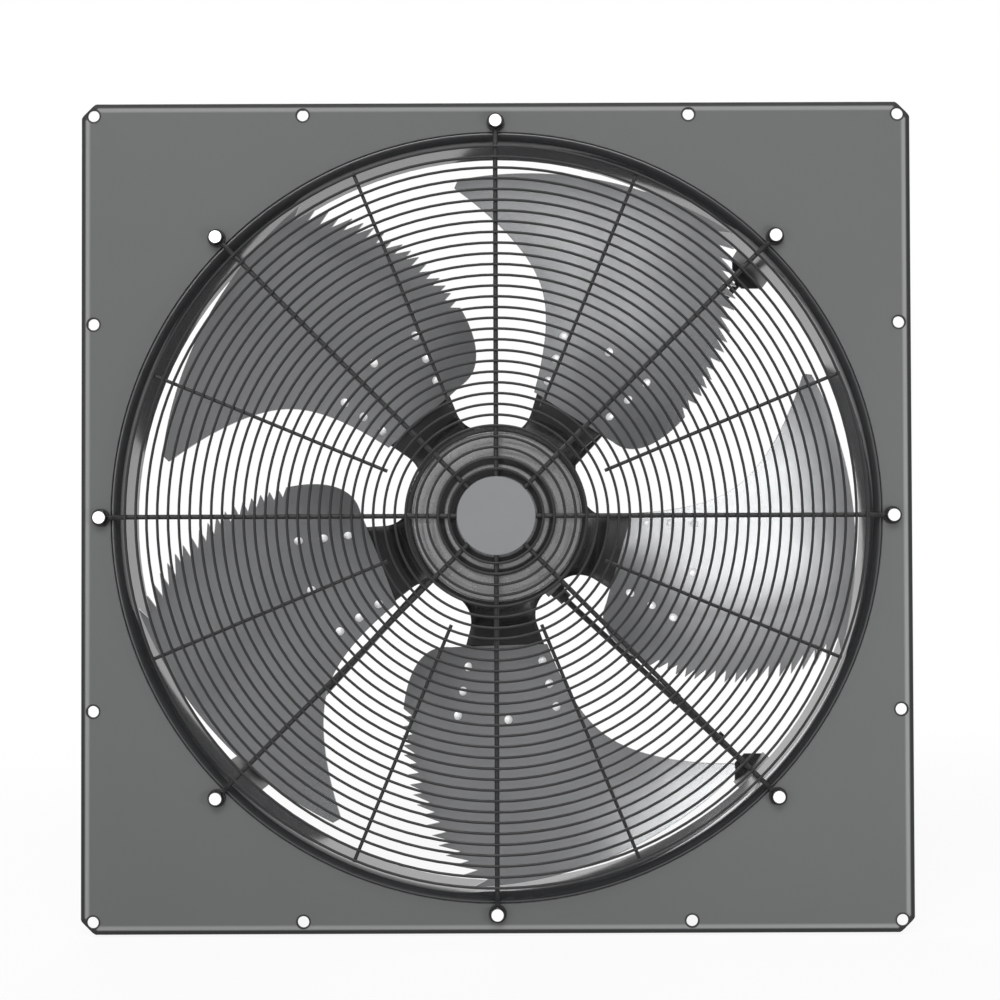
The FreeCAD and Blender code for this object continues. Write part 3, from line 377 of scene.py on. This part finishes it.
def makeFinish(name, asked):
    look = {**usualFinish, **asked}
    material = bpy.data.materials.new(name)
    material.use_nodes = True
    tree = material.node_tree
    shader = tree.nodes["Principled BSDF"]
    shader.inputs["Metallic"].default_value = look["metal"]
    shader.inputs["Specular IOR Level"].default_value = look["specular"]
    shader.inputs["Coat Weight"].default_value = look["coat"]
    shader.inputs["Coat Roughness"].default_value = look["coatGloss"]
    bump = tree.nodes.new("ShaderNodeBump")
    bump.inputs["Strength"].default_value = look["bump"]
    bump.inputs["Distance"].default_value = look["bumpDepth"]
    grain = placeGroup(tree, coatGrain, {
        "Tone": look["tone"], "Tone Shift": look["toneShift"], "Cloud Scale": look["cloud"],
        "Peel Scale": look["peel"], "Gloss": look["gloss"], "Gloss Shift": look["glossShift"]})
    tone, height = grain["Tone"], grain["Height"]
    if "rings" in look:
        rings = placeGroup(tree, turnedRings, {"Ring Scale": look["rings"]})
        share = addMath(tree, "MULTIPLY", rings["Line"], look["ringTone"])
        tone = addMixColour(tree, share, tone, look["ringColour"])
        height = addMath(tree, "ADD", height, rings["Line"])
        # painted shade in rings about the fan axis
        if "shadeRingTone" in look:
            tone = addMixColour(tree, rings["Shade Ring"], tone, look["shadeRingTone"])
    # edge marks: lighter tones are rubbed paint, darker tones are painted shade
    if "wearAndShade" in look:
        wornAndShaded = placeGroup(tree, rubbedEdgeAndShade, {
            "Width": look["edgeWidth"], "Amount": look["wearAndShade"],
            "Patch Scale": look["edgePatch"], "Even": look["edgeEven"]})
        tone = addMixColour(tree, wornAndShaded["Mask"], tone, look["wearAndShadeTone"])
        tree.links.new(wornAndShaded["Normal"], bump.inputs["Normal"])
    if "rim" in look:
        tone = addMixColour(tree, placeGroup(tree, headRim, look["rim"])["Mask"], tone, look["rimTone"])
    # painted highlight line and painted shade along the plate's folded edge
    if "fold" in look:
        fold = placeGroup(tree, foldBand, look["fold"])
        tone = addMixColour(tree, fold["Line"], tone, look["foldHighlightTone"])
        tone = addMixColour(tree, fold["Shade"], tone, look["foldShadeTone"])
    if "dust" in look:
        dust = placeGroup(tree, settledDust, {"Amount": look["dust"], "Patch Scale": look["dustPatch"]})
        tone = addMixColour(tree, dust["Mask"], tone, look["dustTone"])
    tree.links.new(tone, shader.inputs["Base Color"])
    tree.links.new(grain["Gloss"], shader.inputs["Roughness"])
    tree.links.new(height, bump.inputs["Height"])
    tree.links.new(bump.outputs[0], shader.inputs["Normal"])
    return material


materials = {name: makeFinish(name, look) for name, look in finishes.items()}
print("finishes ready,", len(materials))

nodeFinish = {"guard_bolts": "bolt_zinc"}  # nodes whose finish isn't their slot's usual one
for part in frame["record"]["subparts"]:
    shown = nodes[part["node"]]
    shown.data.materials.clear()
    shown.data.materials.append(materials[nodeFinish.get(part["node"], part["material_slot"])])


# added pieces; degrees run about the fan axis from the right, lengths are metres
def spokeAxes(degrees):
    angle = math.radians(degrees)
    along = Vector((math.cos(angle), 0, math.sin(angle)))
    around = Vector((-math.sin(angle), 0, math.cos(angle)))
    return along, around


def spoke(radius, degrees, y, side=0.0):
    along, around = spokeAxes(degrees)
    return along * radius + around * side + Vector((0, y, 0))


def spokeFrame(radius, degrees, y, side=0.0):
    along, around = spokeAxes(degrees)
    turned = Matrix((along, Vector((0, 1, 0)), around)).transposed().to_4x4()
    return Matrix.Translation(spoke(radius, degrees, y, side)) @ turned


def addPiece(name, mesh, slotName, body):
    bmesh.ops.recalc_face_normals(mesh, faces=mesh.faces)
    data = bpy.data.meshes.new(name)
    mesh.to_mesh(data)
    mesh.free()
    data.shade_smooth()
    data.materials.append(materials[slotName])
    piece = bpy.data.objects.new(name, data)
    bpy.context.scene.collection.objects.link(piece)
    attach(piece, body)
    return piece


guardWeld = {"rods": 16, "firstRing": 0.045, "pitch": 0.01025, "rings": 31, "shortStart": 0.112, "y": -0.0162,
             "mainSize": (0.0019, 0.0012, 0.0023), "shortSize": (0.0018, 0.0011, 0.0018)}


def weldGuard(look):
    mesh = bmesh.new()
    for step in range(look["rods"]):
        short = step % 2  # long and short rods alternate
        size = Matrix.Diagonal((*look["shortSize" if short else "mainSize"], 1))
        for number in range(look["rings"]):
            radius = look["firstRing"] + look["pitch"] * number
            if short and radius < look["shortStart"]:
                continue
            spot = spokeFrame(radius, 360 / look["rods"] * step, look["y"])
            bmesh.ops.create_icosphere(mesh, subdivisions=1, radius=1.0, matrix=spot @ size)
    addPiece("guardWelds", mesh, "guard_wire", "frame")


# smooth roots of the hub's arms, between the collar's wall and the arms' front
armRoot = {"arms": 5, "first": 270, "low": -14.5, "high": 19.5, "endGap": 0.5,  # the arm's edges, in degrees
           "collar": 0.088, "valley": 0.030, "size": 0.022, "leastSize": 0.0004, "edgeShare": 0.9, "lap": 0.001,
           "tip": 0.3575, "leads": (0.131, 0.070), "power": 1.6, "camber": 0.009, "chord": 24.0, "sweep": -2.5,
           "mid": 0.0685, "sections": 56, "steps": 12, "sharp": 50}


def armFront(radius, degrees, look):
    lag = degrees - look["sweep"]
    tipLead, collarLead = look["leads"]
    share = (look["tip"] - radius) / (look["tip"] - look["collar"])
    lead = tipLead - (tipLead - collarLead) * share ** look["power"]
    return look["mid"] + lead * math.radians(lag) + look["camber"] * (1 - (lag / look["chord"]) ** 2)


def valleyTurn(look):
    return math.asin(look["valley"] / (look["collar"] + look["valley"]))


def rootSize(degrees, look):
    if look["low"] <= degrees <= look["high"]:
        return look["size"]
    middle = look["collar"] + look["valley"]
    past = math.radians(max(look["low"] - degrees, degrees - look["high"]))
    away = max(valleyTurn(look) - past, 0)
    dip = math.sqrt(max(look["valley"] ** 2 - (middle * math.sin(away)) ** 2, 0))
    room = middle * math.cos(away) - dip - look["collar"]  # the arm's edge runs out in the round valley
    return max(min(look["size"], look["edgeShare"] * room), look["leastSize"])


def rootSection(degrees, look):
    size = rootSize(degrees, look)
    inner = look["collar"] - look["lap"]
    outer = look["collar"] + size
    points = []
    for step in range(look["steps"] + 1):
        turn = math.pi / 2 * step / look["steps"]
        radius = look["collar"] + size * (1 - math.cos(turn))
        points.append((radius, armFront(radius, degrees, look) - size * (1 - math.sin(turn))))
    points.append((outer, armFront(outer, degrees, look) + look["lap"]))
    points.append((inner, armFront(inner, degrees, look) + look["lap"]))
    points.append((inner, points[0][1]))
    return points


def rootArms(look):
    mesh = bmesh.new()
    reach = math.degrees(valleyTurn(look)) - look["endGap"]
    low, high = look["low"] - reach, look["high"] + reach
    for arm in range(look["arms"]):
        base = look["first"] + 360 * arm / look["arms"]
        rows = []
        for number in range(look["sections"] + 1):
            degrees = low + (high - low) * number / look["sections"]
            section = rootSection(degrees, look)
            rows.append([mesh.verts.new(spoke(radius, base + degrees, y)) for radius, y in section])
        for row, following in zip(rows, rows[1:]):
            for number, vert in enumerate(row):
                beside = (number + 1) % len(row)
                mesh.faces.new((vert, row[beside], following[beside], following[number]))
        mesh.faces.new(rows[0])
        mesh.faces.new(rows[-1])
    piece = addPiece("armRoots", mesh, "hub_black", "impeller")
    piece.data.set_sharp_from_angle(angle=math.radians(look["sharp"]))


strutWeld = {"angles": (45, 135, 225, 315), "skew": 2.3, "end": 0.370288, "y": 0.1465, "side": 0.0037,
             "plate": (0.022, 0.0615), "foot": (0.3555, 0.3685),
             "bead": 0.0016, "step": 0.0015, "shape": (0.75, 0.8, 1.0), "swell": 0.12, "swellTurn": 2.3}


def strutSide(radius, look):
    return (radius - look["end"]) * math.tan(math.radians(look["skew"]))


def weldStruts(look):
    mesh = bmesh.new()
    shape = Matrix.Diagonal((*look["shape"], 1))
    for degrees in look["angles"]:
        for start, stop in (look["plate"], look["foot"]):
            for number in range(int((stop - start) / look["step"])):
                radius = start + look["step"] * number
                bead = look["bead"] * (1 + look["swell"] * math.sin(look["swellTurn"] * number + degrees))
                for side in (-look["side"], look["side"]):
                    spot = spokeFrame(radius, degrees, look["y"], strutSide(radius, look) + side)
                    bmesh.ops.create_icosphere(mesh, subdivisions=2, radius=bead, matrix=spot @ shape)
    addPiece("strutWelds", mesh, "support_paint", "frame")


leadTie = {"angle": 315, "stations": (0.200, 0.262, 0.324), "y": 0.150, "side": 0.0062,
           "head": (0.0058, 0.0052, 0.0038), "headRound": 0.0006,
           "tail": (0.0036, 0.009, 0.0010), "tailRound": 0.0003, "tailBack": 0.006, "tailSide": 0.0002}


def addBlock(mesh, matrix, size, rounding):
    made = bmesh.ops.create_cube(mesh, size=1.0, matrix=matrix @ Matrix.Diagonal((*size, 1)))
    edges = {edge for vert in made["verts"] for edge in vert.link_edges}
    bmesh.ops.bevel(mesh, geom=list(edges), offset=rounding, segments=2, profile=0.6, affect="EDGES")


def tieHeads(look):
    mesh = bmesh.new()
    for station in look["stations"]:
        side = strutSide(station, strutWeld) + look["side"]
        head = spokeFrame(station, look["angle"], look["y"], side)
        addBlock(mesh, head, look["head"], look["headRound"])
        tail = spokeFrame(station, look["angle"], look["y"] + look["tailBack"], side + look["tailSide"])
        addBlock(mesh, tail, look["tail"], look["tailRound"])
    addPiece("tieHeads", mesh, "black_plastic", "frame")


weldGuard(guardWeld)
rootArms(armRoot)
weldStruts(strutWeld)
tieHeads(leadTie)
print("added pieces ready")


# camera, floor and light
view = {"place": (0.045, -1.45, -0.052), "lens": 54.36, "sensor": 36.0, "near": 0.05,
        "tilt": 0.88, "roll": 0.2, "shift": (-0.0437, 0.0472)}


def setCamera(look):
    data = bpy.data.cameras.new("camera")
    data.sensor_fit = "HORIZONTAL"
    data.sensor_width = look["sensor"]
    data.lens = look["lens"]
    data.shift_x, data.shift_y = look["shift"]
    data.clip_start = look["near"]
    camera = bpy.data.objects.new("camera", data)
    camera.location = look["place"]
    camera.rotation_euler = Euler((math.radians(90 + look["tilt"]), math.radians(look["roll"]), 0))
    bpy.context.scene.collection.objects.link(camera)
    bpy.context.scene.camera = camera


def seenDirectly(tree):
    rays = tree.nodes.new("ShaderNodeLightPath").outputs
    seen = addMath(tree, "MAXIMUM", rays["Is Camera Ray"], rays["Is Glossy Ray"])
    return addMath(tree, "MAXIMUM", seen, rays["Is Transmission Ray"])


floorLook = {"drop": 0.002, "size": 12.0, "tone": (0.86, 0.86, 0.86), "gloss": 0.9,
             "white": 0.90, "fadeStart": 0.7, "fadeEnd": 2.4}  # shadow near the fan, plain white further off


def makeFloorPaint(look):
    material = bpy.data.materials.new("paleFloor")
    material.use_nodes = True
    tree = material.node_tree
    shader = tree.nodes["Principled BSDF"]
    shader.inputs["Base Color"].default_value = (*look["tone"], 1)
    shader.inputs["Roughness"].default_value = look["gloss"]
    glow = tree.nodes.new("ShaderNodeEmission")
    glow.inputs["Color"].default_value = (1, 1, 1, 1)
    glow.inputs["Strength"].default_value = 1.0
    across, along, _ = splitAxes(tree, objectPlace(tree))
    away = addRamp(tree, addLength(tree, across, along), look["fadeStart"], look["fadeEnd"])
    white = addMath(tree, "MULTIPLY_ADD", away, 1.0 - look["white"], look["white"])
    mix = tree.nodes.new("ShaderNodeMixShader")
    tree.links.new(addMath(tree, "MULTIPLY", seenDirectly(tree), white), mix.inputs["Fac"])
    tree.links.new(shader.outputs[0], mix.inputs[1])
    tree.links.new(glow.outputs[0], mix.inputs[2])
    tree.links.new(mix.outputs[0], tree.nodes["Material Output"].inputs["Surface"])
    return material


def setFloor(look):
    level = Matrix.Translation((0, 0, cadBox[0][2] - look["drop"]))
    mesh = bmesh.new()
    bmesh.ops.create_grid(mesh, x_segments=1, y_segments=1, size=look["size"], matrix=level)
    data = bpy.data.meshes.new("floor")
    mesh.to_mesh(data)
    mesh.free()
    data.materials.append(makeFloorPaint(look))
    floor = bpy.data.objects.new("floor", data)
    bpy.context.scene.collection.objects.link(floor)


worldLook = {"ambient": 0.12}


def setWorld(look):
    world = bpy.data.worlds.new("studio")
    world.use_nodes = True
    tree = world.node_tree
    back = tree.nodes["Background"]
    back.inputs["Color"].default_value = (1, 1, 1, 1)
    strength = addMath(tree, "MULTIPLY_ADD", seenDirectly(tree), 1.0 - look["ambient"], look["ambient"])
    tree.links.new(strength, back.inputs["Strength"])
    bpy.context.scene.world = world


softboxes = {
    "topBox": {"place": (-0.2, -6.3, 5.7), "aim": (0, 0, 0), "size": (6.2, 4.0), "power": 570},
    "leftBox": {"place": (-2.15, -2.15, 0.62), "aim": (0, 0, 0.1), "size": (1.0, 1.9), "power": 13},
    "lowBox": {"place": (-1.30, -1.35, -0.02), "aim": (0, 0, 0), "size": (1.3, 0.6), "power": 2.6},
    "fillBox": {"place": (0.95, -0.95, -0.2), "aim": (0.2, 0, -0.15), "size": (0.4, 0.3), "power": 6,
                "mirrored": False},
    "keyLamp": {"place": (-0.81, -3.8, 0.82), "aim": (0, 0, 0), "size": (0.15, 0.15), "power": 13},
    "backBox": {"place": (-0.8, 2.2, 1.2), "aim": (0, 0, 0), "size": (1.6, 1.2), "power": 24},
}


def setLights(boxes):
    for name, look in boxes.items():
        data = bpy.data.lights.new(name, "AREA")
        data.shape = "RECTANGLE"
        data.size, data.size_y = look["size"]
        data.energy = look["power"]
        lamp = bpy.data.objects.new(name, data)
        lamp.location = look["place"]
        lamp.visible_camera = False
        lamp.visible_glossy = look.get("mirrored", True)
        towards = Vector(look["aim"]) - Vector(look["place"])
        lamp.rotation_euler = towards.to_track_quat("-Z", "Y").to_euler()
        bpy.context.scene.collection.objects.link(lamp)


setCamera(view)
setFloor(floorLook)
setWorld(worldLook)
setLights(softboxes)
bpy.context.scene.view_settings.view_transform = "Standard"
print("camera, floor and light ready")
